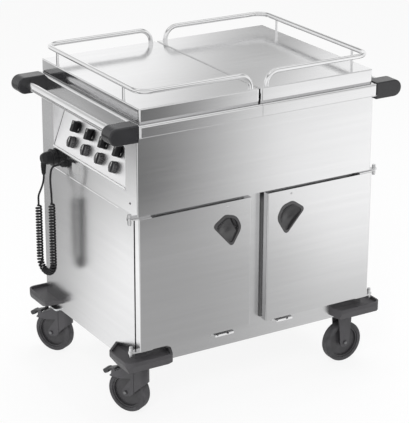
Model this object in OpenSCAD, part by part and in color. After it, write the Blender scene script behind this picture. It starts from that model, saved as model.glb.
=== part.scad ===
// Hostess trolley: a double cupboard on four castors, with two covered wells in the worktop.
// The left lid, left door and so on are those at negative x. The front looks along negative y.
// The origin is on the floor, under the centre of the overall box.

/* [Carcass] */
// Width across the side walls
body_w = 772; // [768:1:776]
// Front plane of the lower carcass
front_y = -284; // [-285:0.5:-283]
// Rear plane of the carcass
rear_y = 267; // [266:0.5:268]
// Height of the carcass bottom above the floor
base_z = 167; // [166.5:0.5:167]
// Height of the seam between the cupboard and the upper housing
seam_z = 622; // [621.8:0.1:622]
// Front plane of the upper housing, which overhangs the doors
housing_front_y = -307; // [-308:0.5:-306]
// Sheet thickness of the carcass
sheet = 1.5; // [1.2:0.1:1.8]

/* [Worktop and wells] */
// Width of the worktop over both halves
rim_w = 776.8; // [776:0.2:778]
// Depth of the worktop
rim_d = 606; // [604:1:608]
// Height of the worktop surface above the floor
top_z = 885; // [884.5:0.5:885]
// Height of the turned-down worktop edge
rim_h = 36; // [30:1:38]
// Sheet thickness of the worktop and the lids
top_sheet = 2; // [1.5:0.5:2]
// Distance of each well's centre from the middle
well_x = 172; // [171.5:0.5:172.5]
// Depth of the wells below the worktop
well_depth = 213; // [150:1:214]

/* [Lids and gallery] */
// Width of one lid
lid_w = 378; // [377:0.5:378]
// Depth of a lid
lid_d = 578; // [577:1:579]
// Height of the lid's turned-down edge
lid_h = 35.5; // [34:0.5:35.5]
// Height of the centre of the gallery tube
rail_z = 967.5; // [960:0.5:970]
// Diameter of the gallery tube
rail_dia = 14; // [12:0.5:14]
// Distance of the gallery tube from the lid's edges
rail_inset = 10; // [10:0.5:14]

/* [Doors] */
// Thickness of a door
door_t = 26; // [25:0.5:26]
// Height of a door
door_h = 389.5; // [389:0.5:389.5]
// Clear gap between the two doors
door_gap = 54; // [50:1:58]
// Diameter of a hinge pin
hinge_pin_dia = 6; // [5:0.5:6]

/* [Control recess] */
// Depth of the recess where it is deepest
recess_in = 42; // [38:1:44]
// Spacing of the knobs along a row
knob_pitch = 84; // [80:1:90]
// Diameter of the rotary switches' skirts
switch_dia = 35; // [30:1:36]
// Diameter of the thermostat knobs
stat_dia = 34; // [28:1:36]

/* [Handles and bumpers] */
// Diameter of the push tubes
push_dia = 25; // [22:1:25]
// Distance of a push tube from the middle
push_x = 440; // [438:1:442]
// Outward reach of the bumpers from the middle
bumper_x = 432; // [428:1:434]
// Height of the bumpers' top lip above the floor
bumper_top = 203; // [200:1:203]

/* [Castors] */
// Wheel diameter
wheel_dia = 125; // [123:1:125]
// Tread width
wheel_w = 27; // [24:1:28]
// Distance of the castors from the middle
castor_x = 348; // [346:1:350]
// Trail of the swivel castors
trail = 38; // [36:1:38]
// Heading of the swivel castors' trailing side
swivel_deg = 117.8; // [100:0.1:130]

/* [Cord] */
// Diameter of the cable
cable_dia = 6; // [5.6:0.2:6.2]
// Outer diameter of the curly part
coil_dia = 21; // [20:0.5:22]
// Number of curls
curls = 54; // [40:1:54]

/* [Hidden] */
$fn = 48;
pin_gap = 0.05;
hx = body_w / 2;
rim_x = rim_w / 2;
rim_yc = -21;
rim_z0 = top_z - rim_h;
housing_yc = (housing_front_y + rear_y) / 2;
housing_d = rear_y - housing_front_y;
lid_x0 = 2;
lid_xc = lid_x0 + lid_w / 2;
lid_yc = -20;
lid_z0 = 890.5;
lid_z1 = lid_z0 + lid_h;
well_y = -20;
well_w = 305;
well_d = 510;
open_w = 329;
open_d = 534;
slide_dy = 277;
slide_w = 14;
slide_h = 20;
door_x0 = door_gap / 2;
door_x1 = 386;
door_back = -289;
door_front = door_back - door_t;
door_z0 = 227;
door_z1 = door_z0 + door_h;
pin_x = 406;
pin_y = -297;
liner_x0 = 27;
liner_x1 = 361;
liner_z0 = 245;
liner_z1 = 600;
liner_back = 250;
ledge_w = 14;
ledge_z = [330, 420, 510];
recess_y0 = -242;
recess_y1 = 192;
recess_a = [-hx, 686];
recess_b = [-hx + recess_in, 800];
recess_c = [-hx, 810.9];
panel_t = 2;
panel_tilt = atan((recess_b.x - recess_a.x) / (recess_b.y - recess_a.y));
knob_yc = -37.5;
switch_z = 763;
stat_z = 720;
grip_z = 862.5;
grip_r = 24.5;
grip_xc = 475 - grip_r;
grip_front_y = [-322, -272];
grip_rear_y = [230, 280];
socket_deep = 30;
push_z = 863;
bumper_z0 = 170;
castor_front_y = -245.5;
castor_rear_y = 228.5;
axle_z = wheel_dia / 2;
axle_r = 4;
fork_in = 16;
fork_out = 19.5;
hood_r = axle_z + 6;
head_z = 150;
disc_z0 = 144;
king_r = 6;
pedal_u = 80;
pedal_z = 122;
pedal_pin_r = 2.5;
socket_y = 174;
socket_z = 655;
gland_y = 103;
gland_z = 655;

// Points of the cord, chosen by hand: from the plug to the coil, and from the gland to the coil
plug_route = [[-430, 174, 608], [-430, 174, 600], [-432, 174, 584], [-440, 175, 562],
              [-448, 177, 546], [-448, 177, 532], [-448, 177, 524]];
gland_route = [[-410, 103, 655], [-418, 103, 655], [-437, 103, 655], [-443, 103, 636], [-444, 104, 606],
               [-440, 108, 580], [-438, 110, 560], [-438, 110, 548]];
coil_left = [-448, 177, 524];
coil_right = [-438, 110, 548];
coil_low_z = 350;

// ---- Shared shapes ----

// Rounded rectangle about the origin, with true arcs
module rrect(w, d, r) {
  square([w - 2 * r, d], center = true);
  square([w, d - 2 * r], center = true);
  for (sx = [-1, 1], sy = [-1, 1])
    translate([sx * (w / 2 - r), sy * (d / 2 - r)])
      circle(r = r);
}

// Upright profile from 0 to h, with its two upper corners rounded
module arch(w, h, r) {
  translate([-w / 2, 0])
    square([w, h - r]);
  translate([-w / 2 + r, 0])
    square([w - 2 * r, h]);
  for (s = [-1, 1])
    translate([s * (w / 2 - r), h - r])
      circle(r = r);
}

// Block with rounded upright corners and rounded top edges
module pressed(w, d, h, rv, rt) {
  intersection() {
    linear_extrude(h)
      rrect(w, d, rv);
    rotate([90, 0, 0])
      translate([0, 0, -d / 2])
        linear_extrude(d)
          arch(w, h, rt);
    rotate([90, 0, 90])
      translate([0, 0, -w / 2])
        linear_extrude(w)
          arch(d, h, rt);
  }
}

function unit(v) = v / norm(v);

// Arc that rounds corner b between a and c
function corner_arc(a, b, c, r, n) =
  r == 0 ? [b] :
  let (u = unit(a - b))
  let (w = unit(c - b))
  let (half = acos(u * w) / 2)
  let (o = b + unit(u + w) * r / sin(half))
  let (s = b + u * r / tan(half))
  let (e = b + w * r / tan(half))
  let (a0 = atan2(s.y - o.y, s.x - o.x))
  let (turn = (atan2(e.y - o.y, e.x - o.x) - a0 + 540) % 360 - 180)
  [for (i = [0 : n]) o + r * [cos(a0 + turn * i / n), sin(a0 + turn * i / n)]];

// Outline p with each corner rounded by its own radius in r
function rounded(p, r, n = 6) =
  let (m = len(p))
  [for (i = [0 : m - 1]) each corner_arc(p[(i + m - 1) % m], p[i], p[(i + 1) % m], r[i], n)];

function scaled(p, c, k) = [for (q = p) c + k * (q - c)];

// Extrusion along y from y0 to y1 of a profile drawn in x and z
module along_y(y0, y1) {
  translate([0, y1, 0])
    rotate([90, 0, 0])
      linear_extrude(y1 - y0)
        children();
}

// Extrusion along x from x0 to x1 of a profile drawn in y and z
module along_x(x0, x1) {
  translate([x0, 0, 0])
    rotate([90, 0, 90])
      linear_extrude(x1 - x0)
        children();
}

module rod_x(x0, x1, y, z, r) {
  translate([x0, y, z])
    rotate([0, 90, 0])
      cylinder(r = r, h = x1 - x0);
}

module rod_y(y0, y1, x, z, r) {
  translate([x, y1, z])
    rotate([90, 0, 0])
      cylinder(r = r, h = y1 - y0);
}

module left() {
  mirror([1, 0, 0])
    children();
}

// ---- Carcass ----

// Side wall with a flange folded in at its top and bottom, clear of the front frame and the rear wall
module lower_side() {
  color("#b9bbbe") {
    translate([hx - sheet, front_y, base_z])
      cube([sheet, rear_y - front_y, seam_z - base_z]);
    for (z = [base_z + 2.1, seam_z - sheet])
      translate([hx - 20, front_y + sheet + 0.3, z])
        cube([20 - sheet / 2, rear_y - front_y - sheet - 5, sheet]);
  }
}

// Bottom plate and rear wall, folded from one sheet
module floor_and_rear() {
  y0 = front_y + sheet;
  color("#a9abae")
    along_x(sheet - hx, hx - sheet)
      polygon([[y0, base_z], [rear_y - 3, base_z], [rear_y, base_z + 3], [rear_y, seam_z],
               [rear_y - sheet, seam_z], [rear_y - sheet, base_z + 4], [rear_y - 4, base_z + 2],
               [y0, base_z + 2]]);
}

// One folded sheet with the two cupboard openings, whose middle strip is the mullion
module front_frame() {
  color("#8f9195")
    along_y(front_y, front_y + sheet)
      difference() {
        translate([-hx + sheet, base_z])
          square([body_w - 2 * sheet, seam_z - base_z]);
        for (s = [-1, 1])
          translate([s * 194, (liner_z0 + liner_z1) / 2])
            square([328, liner_z1 - liner_z0], center = true);
      }
}

// Open-fronted inner box of one cupboard
module liner() {
  xc = (liner_x0 + liner_x1) / 2;
  zc = (liner_z0 + liner_z1) / 2;
  w = liner_x1 - liner_x0;
  h = liner_z1 - liner_z0;
  color("#c4c6c9") {
    along_y(front_y + sheet, liner_back)
      translate([xc, zc])
        difference() {
          square([w + 2 * sheet, h + 2 * sheet], center = true);
          square([w, h], center = true);
        }
    along_y(liner_back, liner_back + sheet)
      translate([xc, zc])
        square([w + 2 * sheet, h + 2 * sheet], center = true);
  }
}

// Angle ledges that carry the containers in both cupboards
module runner_ledges() {
  color("#c4c6c9")
    for (s = [0, 1], z = ledge_z)
      mirror([s, 0, 0])
        along_y(front_y + 12, liner_back - 3) {
          translate([liner_x0, z])
            polygon([[0, 0], [ledge_w, 0], [ledge_w, 1.5], [1.5, 1.5], [1.5, 20], [0, 20]]);
          translate([liner_x1, z])
            polygon([[0, 0], [-ledge_w, 0], [-ledge_w, 1.5], [-1.5, 1.5], [-1.5, 20], [0, 20]]);
        }
}

// Upper housing: four walls and a floor, with the control opening in its left wall
module upper_housing() {
  color("#b0b2b5")
    difference() {
      translate([0, housing_yc, seam_z])
        linear_extrude(top_z - top_sheet - seam_z)
          rrect(body_w, housing_d, 3);
      translate([0, housing_yc, seam_z + sheet])
        linear_extrude(300)
          rrect(body_w - 2 * sheet, housing_d - 2 * sheet, 3 - sheet);
      translate([-hx - 5, recess_y0, recess_a.y])
        cube([12, recess_y1 - recess_y0, 127]);
      for (s = [-1, 1])
        translate([s * (hx + 1) - 6, housing_front_y - 1, top_z - top_sheet - 6])
          cube([12, housing_d + 2, 10]);
    }
}

// Corner of a folded sheet, moved by the sheet's thickness
function fold(b, n1, n2, t) = b + t * (n1 + n2) / (1 + n1 * n2);

panel_n = [cos(panel_tilt), -sin(panel_tilt)];
ceil_dir = unit(recess_c - recess_b);
ceil_n = [ceil_dir.y, -ceil_dir.x];

// Places children on the panel's face, with their z along its outward normal
module on_panel(y, z) {
  translate([recess_a.x + (z - recess_a.y) * tan(panel_tilt), y, z])
    rotate([0, panel_tilt - 90, 0])
      children();
}

module control_panel() {
  color("#9fa1a5")
    difference() {
      union() {
        along_y(recess_y0, recess_y1)
          polygon([recess_a, recess_b, recess_c,
                   recess_c + [0, panel_t / ceil_n.y],
                   fold(recess_b, panel_n, ceil_n, panel_t),
                   [recess_a.x + panel_t / cos(panel_tilt), recess_a.y]]);
        for (y = [recess_y0, recess_y1 - 1.5])
          along_y(y, y + 1.5)
            polygon([recess_a, recess_b, recess_c]);
        along_y(recess_y0, recess_y1)
          polygon([recess_a + [-2, -6], recess_a + [0, -6], recess_a, recess_a + [1.5, 0],
                   recess_a + [1.5, 2], recess_a + [-2, 2]]);
      }
      for (i = [-1.5 : 1 : 1.5], z = [switch_z, stat_z])
        on_panel(knob_yc + i * knob_pitch, z)
          translate([0, 0, -6])
            cylinder(r = 3 + pin_gap, h = 12);
    }
}

// ---- Worktop, wells and slide rails ----

// Right-hand half of the worktop: sheet with rounded, turned-down edges, notched over the housing's walls
module worktop() {
  color("#cfd1d4")
    difference() {
      intersection() {
        translate([0, rim_yc, rim_z0])
          pressed(rim_w, rim_d, rim_h, 9, 7);
        translate([0.4, -400, rim_z0 - 5])
          cube([rim_x, 800, rim_h + 10]);
      }
      intersection() {
        translate([0, rim_yc, rim_z0 - 1])
          pressed(rim_w - 2 * top_sheet, rim_d - 2 * top_sheet, rim_h + 1 - top_sheet, 9 - top_sheet,
                  7 - top_sheet);
        translate([0.4 + top_sheet, -400, rim_z0 - 5])
          cube([rim_x, 800, rim_h + 10]);
      }
      translate([well_x, well_y, rim_z0])
        linear_extrude(rim_h + 5)
          rrect(open_w, open_d, 12);
      for (y = [housing_front_y, rear_y - sheet])
        translate([0, y - 0.3, rim_z0 - 1])
          cube([top_sheet + 0.8, sheet + 0.6, rim_h + 0.5 - top_sheet]);
    }
}

// Deep-drawn well, hung under the worktop's opening by its flange
module well() {
  z1 = top_z - top_sheet;
  h = well_depth - top_sheet;
  color("#c9cbce")
    translate([well_x, well_y, z1])
      difference() {
        union() {
          translate([0, 0, -top_sheet])
            linear_extrude(top_sheet)
              rrect(338.8, 543, 14);
          rotate([180, 0, 0])
            pressed(well_w + 3, well_d + 3, h + 1.5, 31.5, 21.5);
        }
        translate([0, 0, 1])
          rotate([180, 0, 0])
            pressed(well_w, well_d, h + 1, 30, 20);
      }
}

// Four lipped channels on the worktop, in which the lids' runners slide
module slide_rails() {
  color("#aeb0b3")
    for (s = [0, 1], d = [-slide_dy, slide_dy])
      mirror([s, 0, 0])
        along_x(4, 376)
          translate([lid_yc + d, top_z])
            difference() {
              translate([-slide_w / 2, 0])
                square([slide_w, slide_h]);
              translate([-slide_w / 2 + 1.5, 1.5])
                square([slide_w - 3, slide_h - 3]);
              translate([-3, slide_h - 2])
                square([6, 3]);
            }
}

// ---- Lids ----

// Right-hand lid: a pan with a shallow inner lip and two captive runners
module lid() {
  color("#d6d8da") {
    difference() {
      translate([lid_xc, lid_yc, lid_z0])
        pressed(lid_w, lid_d, lid_h, 6, 3);
      translate([lid_xc, lid_yc, lid_z0 - 1])
        pressed(lid_w - 2 * top_sheet, lid_d - 2 * top_sheet, lid_h + 1 - top_sheet, 6 - top_sheet,
                3 - top_sheet);
      translate([lid_x0 - 1, lid_yc - lid_d / 2 + top_sheet, lid_z0 - 1])
        cube([6, lid_d - 2 * top_sheet, 21.5]);
    }
    for (d = [-slide_dy, slide_dy])
      translate([lid_x0 + 4, lid_yc + d, 0]) {
        translate([0, -1.5, 889])
          cube([40, 3, lid_z1 - top_sheet - 888]);
        translate([0, -4.5, 888.5])
          cube([40, 9, 5]);
      }
  }
}

// Gallery round three sides of the right-hand lid, with posts at the heights given in y
module gallery(posts) {
  r = rail_dia / 2;
  xs = lid_x0 + lid_w - rail_inset + 2;
  yf = lid_yc - lid_d / 2 + rail_inset;
  yr = lid_yc + lid_d / 2 - rail_inset - 3;
  x0 = 25;
  down = 38;
  turn = 37;
  color("#dcdedf") {
    for (y = [yf, yr]) {
      translate([x0, y, lid_z1])
        cylinder(r = r, h = rail_z - down - lid_z1);
      translate([x0 + down, y, rail_z - down])
        rotate([90, 0, 0])
          rotate([0, 0, 90])
            rotate_extrude(angle = 90)
              translate([down, 0])
                circle(r = r);
      rod_x(x0 + down, xs - turn, y, rail_z, r);
      translate([x0, y, lid_z1])
        cylinder(r = r + 1, h = 1.5);
    }
    translate([xs - turn, yf + turn, rail_z])
      rotate([0, 0, -90])
        rotate_extrude(angle = 90)
          translate([turn, 0])
            circle(r = r);
    translate([xs - turn, yr - turn, rail_z])
      rotate_extrude(angle = 90)
        translate([turn, 0])
          circle(r = r);
    rod_y(yf + turn, yr - turn, xs, rail_z, r);
    for (y = posts) {
      translate([xs, y, lid_z1])
        cylinder(r = 4, h = rail_z - lid_z1 - 2);
      translate([xs, y, lid_z1])
        cylinder(r = 5.5, h = 1.5);
    }
  }
}

// ---- Doors ----

// Sharp outline of the recessed grip, in x and z
grip_c = [103, 532];
grip_edge = [[152, 551], [112, 579], [78, 570], [60, 535], [91, 483]];
grip_round = [11, 20, 30, 30, 9];

module grip_outline(k) {
  polygon(rounded(scaled(grip_edge, grip_c, k), grip_round));
}

// Flat ear round the hinge pin, from the inner edge y0 to y1
module ear(y0, y1) {
  polygon([[345, y0], [384, y0], [pin_x, pin_y - 8], [pin_x, pin_y + 8], [384, y1], [345, y1]]);
  translate([pin_x, pin_y])
    circle(r = 8);
}

// Right-hand door: foam-filled panel with two hinge ears and a pocket for the grip
module door() {
  pr = hinge_pin_dia / 2 + pin_gap;
  color("#9b9da1")
    difference() {
      union() {
        translate([(door_x0 + door_x1) / 2, (door_front + door_back) / 2, door_z0])
          linear_extrude(door_h)
            rrect(door_x1 - door_x0, door_t, 3);
        translate([0, 0, door_z1])
          linear_extrude(3)
            ear(door_front + 2, door_back - 2);
        translate([pin_x, pin_y, door_z1 - 12.5])
          cylinder(r = 5.5, h = 14);
        translate([0, 0, door_z0 - 3])
          linear_extrude(3)
            ear(door_front + 2, door_back - 2);
        translate([pin_x, pin_y, door_z0 - 1.5])
          cylinder(r = 5.5, h = 12.5);
      }
      along_y(door_front - 1, door_front + 21)
        grip_outline(1);
      for (z = [door_z0 - 10, door_z1 - 20])
        translate([pin_x, pin_y, z])
          cylinder(r = pr, h = 40);
    }
}

// Recessed grip: a flanged cup with a dished floor and a finger undercut at the door's free edge
module door_grip() {
  edge = unit(grip_edge[2] - grip_edge[3]);
  mid = scaled([(grip_edge[2] + grip_edge[3]) / 2], grip_c, 0.76)[0];
  color("#3c3b3d")
    difference() {
      union() {
        along_y(door_front, door_front + 21)
          grip_outline(1);
        along_y(door_front - 1.5, door_front)
          grip_outline(1.05);
      }
      intersection() {
        along_y(door_front - 5, door_front + 19)
          grip_outline(0.87);
        translate([grip_c.x, door_front - 45, grip_c.y])
          sphere(r = 62, $fn = 64);
      }
      translate([mid.x, door_front + 9, mid.y])
        rotate([0, 90 - atan2(edge.y, edge.x), 0])
          cylinder(r = 6.5, h = 44, center = true);
    }
}

module door_seal() {
  w = 351;
  h = 381;
  color("#1c1c1e")
    along_y(door_back, front_y - 0.3)
      translate([23 + w / 2, 231 + h / 2])
        difference() {
          square([w, h], center = true);
          square([w - 20, h - 20], center = true);
        }
}

// Fixed brackets and pins of the four hinges
module hinge_brackets() {
  r = hinge_pin_dia / 2;
  color("#8a8c90")
    for (s = [0, 1])
      mirror([s, 0, 0]) {
        translate([0, 0, door_z1 + 3.3])
          linear_extrude(seam_z - door_z1 - 3.3)
            ear(-306, -285);
        translate([pin_x, pin_y, door_z1 + 3.3]) {
          cylinder(r = 5.5, h = 12);
          translate([0, 0, -16.5])
            cylinder(r = r, h = 20);
          translate([0, 0, -19])
            cylinder(r = 4.6, h = 2.9);
        }
        translate([0, 0, door_z0 - 6])
          linear_extrude(2.7)
            ear(-306, front_y);
        translate([345, front_y - 2, 203.5])
          cube([39, 2, 19]);
        translate([pin_x, pin_y, door_z0 - 3.3]) {
          translate([0, 0, -15])
            cylinder(r = 5.5, h = 15);
          translate([0, 0, -5])
            cylinder(r = r, h = 20);
          translate([0, 0, 14.6])
            cylinder(r = 4.6, h = 2.9);
        }
      }
}

// Two bent plates under the doors, on the bottom rail
module door_catches() {
  color("#2b2a2c")
    for (x = [[-141, -77], [66, 122]])
      along_x(x[0], x[1])
        polygon([[front_y, 205], [front_y, 218.5], [-311, 218.5], [-311, 217], [front_y - 1.5, 217],
                 [front_y - 1.5, 205]]);
}

// ---- Handles and bumpers ----

// Bracket of a push tube: a block with a half-round outer end and rounded edges
module grip_block(y) {
  d = y[1] - y[0];
  translate([rim_x, (y[0] + y[1]) / 2, grip_z])
    rotate([0, 90, 0])
      linear_extrude(grip_xc - rim_x)
        rrect(2 * grip_r, d, 4);
  translate([grip_xc, (y[0] + y[1]) / 2, grip_z])
    rotate([-90, 0, 0])
      rotate([0, 0, -90])
        rotate_extrude(angle = 180) {
          translate([0, -d / 2])
            square([grip_r - 4, d]);
          translate([0, 4 - d / 2])
            square([grip_r, d - 8]);
          for (s = [-1, 1])
            translate([grip_r - 4, s * (d / 2 - 4)])
              circle(r = 4);
        }
}

module grip_front() {
  color("#3f3e40")
    difference() {
      grip_block(grip_front_y);
      rod_y(grip_front_y[1] - socket_deep, grip_front_y[1] + 5, push_x, push_z, push_dia / 2 + 0.1);
    }
}

module grip_rear() {
  color("#3f3e40")
    difference() {
      grip_block(grip_rear_y);
      rod_y(grip_rear_y[0] - 5, grip_rear_y[0] + socket_deep, push_x, push_z, push_dia / 2 + 0.1);
    }
}

module push_tube() {
  y0 = grip_front_y[1] - socket_deep;
  y1 = grip_rear_y[0] + socket_deep;
  color("#d9dbdd")
    difference() {
      rod_y(y0, y1, push_x, push_z, push_dia / 2);
      rod_y(y0 - 1, y1 + 1, push_x, push_z, push_dia / 2 - 1.5);
    }
}

// Corner bumper: s is -1 at the front and 1 at the rear, plane is the carcass face,
// lip is the outermost y, wall_y is where the side arm ends on the wall, and end_y on the outside
module bumper(s, plane, lip, wall_y, end_y) {
  bx = bumper_x;
  h = bumper_top - bumper_z0;
  outer = [[hx, wall_y], [bx, end_y], [bx, lip], [288, lip], [271, plane], [hx, plane]];
  inner = [[hx - 1, wall_y + s * 9], [bx - 5, end_y + s * 4], [bx - 5, lip - s * 5], [293, lip - s * 5],
           [280, plane - s], [hx - 1, plane - s]];
  color("#46454a")
    difference() {
      translate([0, 0, bumper_z0])
        linear_extrude(h)
          polygon(rounded(outer, [0, 10, 22, 8, 0, 0], 8));
      translate([0, 0, bumper_top - 9])
        linear_extrude(20)
          polygon(rounded(inner, [0, 8, 17, 6, 0, 0], 8));
      along_y(-400, 400)
        polygon([[bx - 9, bumper_z0 - 1], [bx + 5, bumper_z0 - 1], [bx + 5, bumper_z0 + 26],
                 [bx, bumper_z0 + 22]]);
      along_x(200, 500)
        polygon([[lip - s * 9, bumper_z0 - 1], [lip + s * 5, bumper_z0 - 1], [lip + s * 5, bumper_z0 + 26],
                 [lip, bumper_z0 + 22]]);
      along_x(200, 500)
        polygon([[wall_y - s, bumper_z0 - 1], [wall_y - s, bumper_z0 + 26],
                 [end_y + s * 38, bumper_z0 - 1]]);
      along_y(-400, 400)
        polygon([[270, bumper_z0 - 1], [270, bumper_z0 + 10], [300, bumper_z0 - 1]]);
    }
}

module bumper_front() {
  bumper(-1, front_y, -326, -172, -217);
}

module bumper_rear() {
  bumper(1, rear_y, 310, 157, 188);
}

// ---- Cord socket and gland on the left wall ----

// Children stand on the left wall, with their z outward
module on_wall(y, z) {
  translate([-hx, y, z])
    rotate([0, -90, 0])
      children();
}

module parking_socket() {
  color("#38373a")
    on_wall(socket_y, socket_z)
      difference() {
        union() {
          cylinder(r = 25, h = 4);
          cylinder(r = 22.5, h = 14);
        }
        translate([0, 0, 6])
          cylinder(r = 19.3, h = 20);
      }
}

module cord_gland() {
  color("#2e2d30")
    on_wall(gland_y, gland_z) {
      cylinder(r = 13, h = 2);
      cylinder(r = 11.5, h = 11, $fn = 6);
      cylinder(r = 9, h = 19);
      translate([0, 0, 19])
        cylinder(r1 = 9, r2 = 5.5, h = 5);
    }
}

// ---- Castors ----

// Children are drawn about the castor's axis on the floor, with the trailing side along x
module castor_at(x, y, turn) {
  translate([x, y, 0])
    rotate([0, 0, turn])
      children();
}

module castor_plate() {
  translate([0, 0, base_z - 4])
    linear_extrude(4)
      rrect(104, 84, 8);
  for (sx = [-1, 1], sy = [-1, 1])
    translate([sx * 40, sy * 30, base_z - 9])
      cylinder(r = 7, h = 6, $fn = 6);
  translate([0, 0, head_z])
    cylinder(r = 30, h = base_z - 3 - head_z);
}

// Swivel heads of the two left castors, each with its king pin
module castor_heads() {
  color("#bfc1c4")
    for (y = [castor_front_y, castor_rear_y])
      castor_at(-castor_x, y, 0) {
        castor_plate();
        translate([0, 0, disc_z0 - 3])
          cylinder(r = king_r, h = 12);
        translate([0, 0, disc_z0 - 4])
          cylinder(r = 10, h = 3.7);
      }
}

// Side of a swivel fork: the hood over the wheel, the leg down to the axle and the ear of the brake pedal
module fork_side() {
  intersection() {
    translate([trail, axle_z])
      circle(r = hood_r, $fn = 96);
    polygon([[11, 150], [60, 150], [112, 124], [104, 107], [87, 101], [58, 102], [20, 110], [49, 68],
             [trail, 55], [25, 53], [11, 64]]);
  }
  polygon([[11, disc_z0 + 5.7], [24, disc_z0 + 5.7], [54, 128], [11, 104]]);
  translate([trail, axle_z])
    circle(r = 12);
  polygon([[70, 112], [88, 104], [86, pedal_z], [74, pedal_z]]);
  translate([pedal_u, pedal_z])
    circle(r = 6);
}

// Outline of the fork's nose seen from above, w inside the outer face
module nose_outline(w) {
  translate([-7, w - fork_out])
    square([20, 2 * (fork_out - w)]);
  translate([-7, 0])
    circle(r = fork_out - w);
}

// Rounded nose that joins the two legs ahead of the wheel, cut off along a rising edge
module fork_nose() {
  difference() {
    translate([0, 0, 50])
      linear_extrude(disc_z0 + 5.7 - 50)
        nose_outline(0);
    translate([0, 0, 40])
      linear_extrude(disc_z0 - 40)
        nose_outline(3);
    along_y(-30, 30)
      polygon([[60, 20], [60, 50], [25, 54], [-28, 103], [-60, 103], [-60, 20]]);
  }
}

// Hooded fork with its axle bolt and the brake pedal's pin
module swivel_fork() {
  color("#4b4a4e")
    difference() {
      union() {
        translate([0, 0, disc_z0])
          cylinder(r = 29, h = head_z - 0.3 - disc_z0);
        for (y = [-fork_out - 1, fork_in])
          along_y(y, y + fork_out + 1 - fork_in)
            fork_side();
        fork_nose();
        translate([trail, 0, axle_z])
          rotate([90, 0, 0])
            rotate([0, 0, 36])
              rotate_extrude(angle = 62, $fn = 96)
                translate([hood_r - 3, -fork_in - 0.5])
                  square([2.8, 2 * fork_in + 1]);
        rod_y(-23, 23, trail, axle_z, axle_r);
        rod_y(-23, -fork_out + 1, trail, axle_z, 6.5);
        rod_y(fork_out - 1, 23, trail, axle_z, 6.5);
        rod_y(-fork_in - 1, fork_in + 1, pedal_u, pedal_z, pedal_pin_r);
      }
      translate([0, 0, disc_z0 - 20])
        cylinder(r = king_r + pin_gap, h = 40);
    }
}

// Fork of a fixed castor, straight down from its plate
module fixed_fork() {
  castor_plate();
  translate([0, 0, disc_z0])
    cylinder(r = 30, h = head_z + 1 - disc_z0);
  for (y = [-fork_out, fork_in])
    along_y(y, y + fork_out - fork_in)
      polygon(rounded([[-24, disc_z0 + 3], [22, disc_z0 + 3], [15, 49], [-15, 49]], [0, 0, 12, 12]));
  rod_y(-22, 22, 0, axle_z, axle_r);
  rod_y(-22, -fork_out + 1, 0, axle_z, 6.5);
  rod_y(fork_out - 1, 22, 0, axle_z, 6.5);
}

module fixed_forks() {
  color("#4b4a4e")
    for (y = [castor_front_y, castor_rear_y])
      castor_at(castor_x, y, 0)
        fixed_fork();
}

// Wheel on its own centre, with its axle along y
module wheel() {
  color("#5c5b60")
    rotate([90, 0, 0])
      rotate_extrude($fn = 96) {
        translate([axle_r + pin_gap, -14.5])
          square([9, 29]);
        translate([12, -5])
          square([36, 10]);
        translate([45, -11])
          square([6, 22]);
        translate([50, -wheel_w / 2])
          square([axle_z - 53.5, wheel_w]);
        translate([50, 3.5 - wheel_w / 2])
          square([axle_z - 50, wheel_w - 7]);
        for (s = [-1, 1])
          translate([axle_z - 3.5, s * (wheel_w / 2 - 3.5)])
            circle(r = 3.5);
      }
}

// Brake pedal: an arm with a thick rounded toe end, on a barrel that turns on the fork's pin
module brake_pedal() {
  color("#39383b")
    translate([pedal_u, 0, pedal_z])
      difference() {
        union() {
          rod_y(-15.5, 15.5, 0, 0, 4);
          rotate([0, 24, 0])
            along_y(-11, 11)
              polygon(rounded([[-3, 0], [25, 1], [27, -6], [42, -6], [44, 7], [29, 8], [24, 5.5], [-3, 4]],
                              [0, 0, 3, 5, 5, 4, 0, 0]));
        }
        rod_y(-20, 20, 0, 0, pedal_pin_r + pin_gap);
      }
}

// ---- Knobs ----

// Rotary switch: round skirt, angular bar and spindle
module switch_knob(i) {
  color("#242326")
    on_panel(knob_yc + (i - 1.5) * knob_pitch, switch_z) {
      translate([0, 0, 0.3])
        cylinder(r = switch_dia / 2, h = 4);
      translate([0, 0, 4])
        linear_extrude(17)
          intersection() {
            rrect(switch_dia - 3, 15, 2);
            circle(r = switch_dia / 2 - 1);
          }
      translate([0, 0, -9])
        cylinder(r = 3, h = 10);
    }
}

// Thermostat knob: ribbed drum with a raised bar across its face
module stat_knob(i) {
  r = stat_dia / 2;
  n = 18;
  color("#3a393c")
    on_panel(knob_yc + (i - 1.5) * knob_pitch, stat_z) {
      translate([0, 0, 0.3])
        cylinder(r = r, h = 3);
      translate([0, 0, 3])
        linear_extrude(12)
          polygon([for (k = [0 : 2 * n - 1])
                     (r - (k % 2 == 0 ? 0.6 : 2)) * [cos(180 * k / n), sin(180 * k / n)]]);
      translate([0, 0, 14])
        linear_extrude(4)
          intersection() {
            rrect(stat_dia - 2, 7, 2);
            circle(r = r - 2);
          }
      translate([0, 0, -9])
        cylinder(r = 3, h = 10);
    }
}

// ---- Plug and cord ----

module plug() {
  color("#2a292c") {
    on_wall(socket_y, socket_z)
      rotate_extrude()
        polygon(rounded([[0, 6], [19, 6], [19, 15], [25, 15], [25, 20], [20, 22], [18, 40], [13, 50.5], [0, 50.5]],
                        [0, 0, 0, 1.5, 1.5, 0, 4, 6, 0]));
    translate([-430, socket_y, 608])
      cylinder(r1 = 5, r2 = 8, h = 34);
    for (z = [612 : 5 : 632])
      translate([-430, socket_y, z])
        cylinder(r = 6.4 + (z - 612) * 0.09, h = 2.4);
  }
}

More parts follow.
